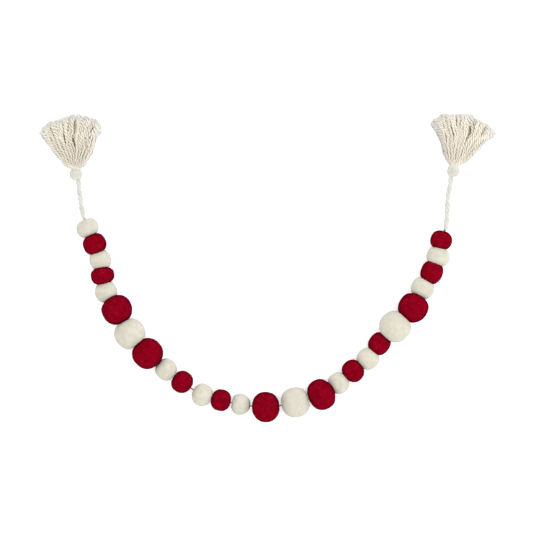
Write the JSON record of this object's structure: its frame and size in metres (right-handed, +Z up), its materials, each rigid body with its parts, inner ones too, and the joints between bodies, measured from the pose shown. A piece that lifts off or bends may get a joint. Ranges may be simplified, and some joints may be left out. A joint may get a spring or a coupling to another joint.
{
  "type": "felt ball garland with tassels",
  "caption": "Garland of red and cream wool felt balls on a thread, with a twisted cotton cord and a fringed cotton tassel at each end.",
  "frame": {"origin": "on the surface that the garland lies on, under the middle of its box without the two tassel cords", "axes": "+X along the garland's width from the left tassel to the right one, +Y from the bottom of the string's U towards the tassels, +Z up off the surface"},
  "size_m": [0.617, 0.4201, 0.041],
  "materials": {
    "red_felt": "matt wet-felted wool",
    "cream_felt": "matt wet-felted wool",
    "tassel_cotton": "soft plied cotton yarn",
    "cord_cotton": "two-ply twisted cotton",
    "dark_thread": "waxed stringing thread"
  },
  "bodies": {
    "root": {"ball_01_cream": "cream_felt", "ball_02_red": "red_felt", "ball_03_cream": "cream_felt", "ball_04_red": "red_felt", "ball_05_cream": "cream_felt", "ball_06_red": "red_felt", "ball_07_cream": "cream_felt", "ball_08_red": "red_felt", "ball_09_cream": "cream_felt", "ball_10_red": "red_felt", "ball_11_cream": "cream_felt", "ball_12_red": "red_felt", "ball_13_cream": "cream_felt", "ball_14_red": "red_felt", "ball_15_cream": "cream_felt", "ball_16_red": "red_felt", "ball_17_cream": "cream_felt", "ball_18_red": "red_felt", "ball_19_cream": "cream_felt", "ball_20_red": "red_felt", "ball_21_cream": "cream_felt", "ball_22_red": "red_felt", "ball_23_cream": "cream_felt", "ball_24_red": "red_felt", "ball_25_cream": "cream_felt", "ball_26_red": "red_felt", "tassel_left": "tassel_cotton", "tassel_right": "tassel_cotton", "tassel_cord_left": "cord_cotton", "tassel_cord_right": "cord_cotton", "thread": "dark_thread"}
  },
  "joints": []
}
